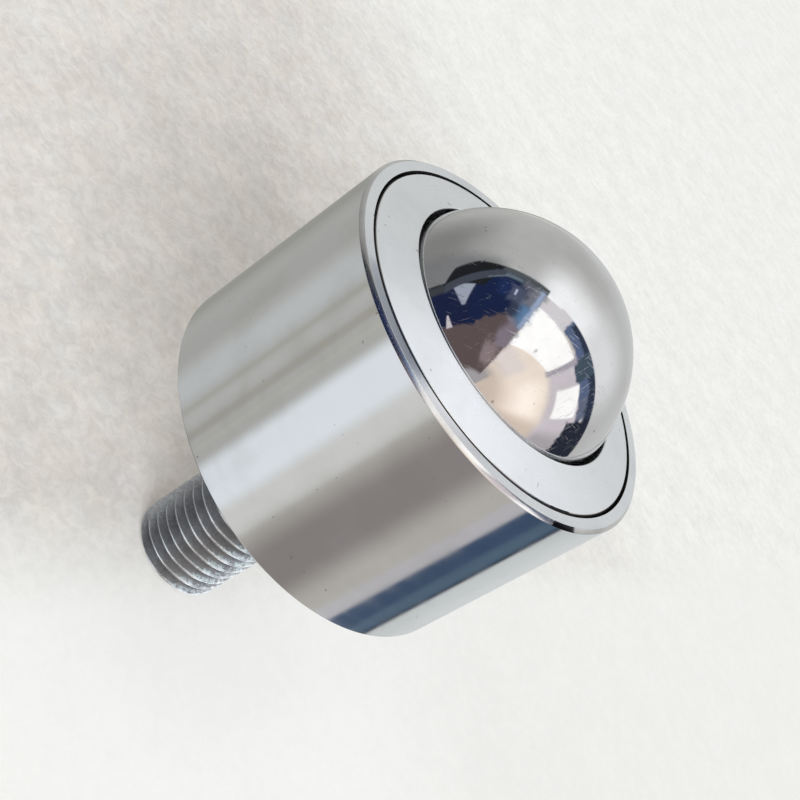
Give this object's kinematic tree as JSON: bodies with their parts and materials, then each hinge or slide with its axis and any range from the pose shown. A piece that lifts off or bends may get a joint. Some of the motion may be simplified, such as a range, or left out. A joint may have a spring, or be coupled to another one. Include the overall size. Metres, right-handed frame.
{
  "type": "ball transfer unit",
  "caption": "Ball transfer unit: a steel ball on a bed of small support balls in a round housing with a threaded fixing stud, for rolling loads in any direction.",
  "frame": {"origin": "centre of the housing's flat base, the face that seats on the table, where the stud leaves it", "axes": "+Z along the unit's axis from the base to the ball; the stud points along -Z; X and Y are any two directions across the axis, because the unit is round"},
  "size_m": [0.055, 0.055, 0.0805],
  "materials": {
    "chromed_housing": "bright plated turned steel with soft streaks along the axis",
    "zinc_stud": "zinc-plated cut thread, duller than the housing",
    "hardened_cup": "hardened and ground",
    "keeper_steel": "plain stamped steel",
    "felt": "oiled grey wool felt",
    "cover_steel": "satin bright plate",
    "polished_ball": "mirror-polished with fine scratches",
    "support_ball_steel": "polished bearing balls"
  },
  "bodies": {
    "housing": {"housing": "chromed_housing", "threaded_stud": "zinc_stud", "ball_cup": "hardened_cup", "keeper_ring": "keeper_steel", "felt_ring": "felt", "cover_ring": "cover_steel"},
    "support_bed": {"support_ball_r0_1": "support_ball_steel", "support_ball_r1_1": "support_ball_steel", "support_ball_r1_2": "support_ball_steel", "support_ball_r1_3": "support_ball_steel", "support_ball_r1_4": "support_ball_steel", "support_ball_r1_5": "support_ball_steel", "support_ball_r1_6": "support_ball_steel", "support_ball_r2_1": "support_ball_steel", "support_ball_r2_2": "support_ball_steel", "support_ball_r2_3": "support_ball_steel", "support_ball_r2_4": "support_ball_steel", "support_ball_r2_5": "support_ball_steel", "support_ball_r2_6": "support_ball_steel", "support_ball_r2_7": "support_ball_steel", "support_ball_r2_8": "support_ball_steel", "support_ball_r2_9": "support_ball_steel", "support_ball_r2_10": "support_ball_steel", "support_ball_r2_11": "support_ball_steel", "support_ball_r2_12": "support_ball_steel", "support_ball_r3_1": "support_ball_steel", "support_ball_r3_2": "support_ball_steel", "support_ball_r3_3": "support_ball_steel", "support_ball_r3_4": "support_ball_steel", "support_ball_r3_5": "support_ball_steel", "support_ball_r3_6": "support_ball_steel", "support_ball_r3_7": "support_ball_steel", "support_ball_r3_8": "support_ball_steel", "support_ball_r3_9": "support_ball_steel", "support_ball_r3_10": "support_ball_steel", "support_ball_r3_11": "support_ball_steel", "support_ball_r3_12": "support_ball_steel", "support_ball_r3_13": "support_ball_steel", "support_ball_r3_14": "support_ball_steel", "support_ball_r3_15": "support_ball_steel", "support_ball_r3_16": "support_ball_steel", "support_ball_r3_17": "support_ball_steel", "support_balls_middle_rows": "support_ball_steel", "support_balls_top_row": "support_ball_steel"},
    "main_ball": {"main_ball": "polished_ball"}
  },
  "joints": [
    {"name": "bed_heading", "type": "hinge", "parent": "housing", "child": "support_bed", "pos_m": [0, 0, 0.0294], "axis": [0, 0, 1], "continuous": true},
    {"name": "ball_roll", "type": "hinge", "parent": "support_bed", "child": "main_ball", "pos_m": [0, 0, 0.0294], "axis": [1, 0, 0], "continuous": true}
  ]
}
